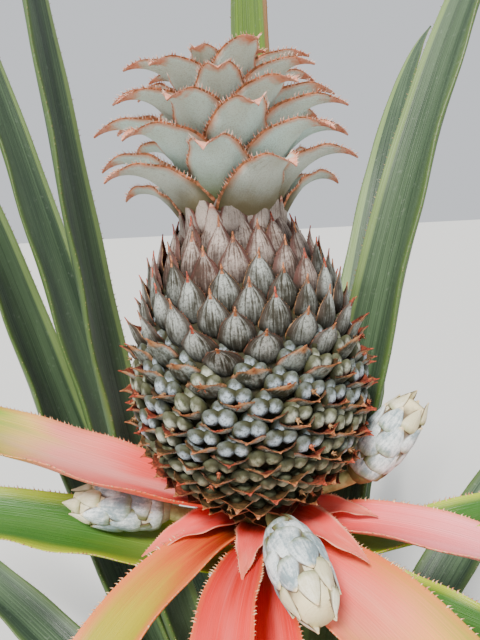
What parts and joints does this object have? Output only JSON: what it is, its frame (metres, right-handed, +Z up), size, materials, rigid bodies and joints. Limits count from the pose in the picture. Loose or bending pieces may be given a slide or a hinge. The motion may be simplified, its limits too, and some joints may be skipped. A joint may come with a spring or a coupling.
{
  "type": "pineapple plant with a young fruit",
  "caption": "Pineapple plant rooted in level ground: rosette of long leaves, red bracts, scaly fruit with a leafy crown, and slips under the fruit.",
  "frame": {"origin": "centre of the flat cut under the stem, at ground level", "axes": "+Z up, -Y towards the side the picture was taken from, -X the side that the fruit leans to"},
  "size_m": [1.424, 1.5533, 1.0009],
  "materials": {
    "stem_green": "matt fibrous stem and flower stalk",
    "leaf_green": "waxy blue-green leaf with a pale bloom",
    "bract_red": "smooth salmon-red bract that turns yellow and green to its tip",
    "fruit_scale": "grey-blue fruitlets with tan bract edges and orange tips",
    "crown_scurf": "pale scurfy leaf with rosy toothed margins",
    "slip_scurf": "white scurfy scales with brown toothed edges"
  },
  "bodies": {
    "root": {"bract_01": "bract_red", "bract_02": "bract_red", "bract_03": "bract_red", "bract_04": "bract_red", "bract_05": "bract_red", "bract_06": "bract_red", "bract_07": "bract_red", "bract_08": "bract_red", "bract_09": "bract_red", "bract_10": "bract_red", "bract_11": "bract_red", "bract_12": "bract_red", "bract_13": "bract_red", "bract_14": "bract_red", "bract_15": "bract_red", "collar_bract_01": "bract_red", "collar_bract_02": "bract_red", "collar_bract_03": "bract_red", "collar_bract_04": "bract_red", "collar_bract_05": "bract_red", "collar_bract_06": "bract_red", "collar_bract_07": "bract_red", "crown": "crown_scurf", "flower_stalk": "stem_green", "fruit": "fruit_scale", "leaf_01": "leaf_green", "leaf_02": "leaf_green", "leaf_03": "leaf_green", "leaf_04": "leaf_green", "leaf_05": "leaf_green", "leaf_06": "leaf_green", "leaf_07": "leaf_green", "leaf_08": "leaf_green", "leaf_09": "leaf_green", "leaf_10": "leaf_green", "leaf_11": "leaf_green", "leaf_12": "leaf_green", "leaf_13": "leaf_green", "leaf_14": "leaf_green", "leaf_15": "leaf_green", "leaf_16": "leaf_green", "leaf_17": "leaf_green", "leaf_18": "leaf_green", "leaf_19": "leaf_green", "leaf_20": "leaf_green", "leaf_21": "leaf_green", "leaf_22": "leaf_green", "leaf_23": "leaf_green", "leaf_24": "leaf_green", "leaf_25": "leaf_green", "leaf_26": "leaf_green", "leaf_27": "leaf_green", "leaf_28": "leaf_green", "slip_1": "slip_scurf", "slip_2": "slip_scurf", "slip_3": "slip_scurf", "slip_4": "slip_scurf", "stem": "stem_green"}
  },
  "joints": []
}
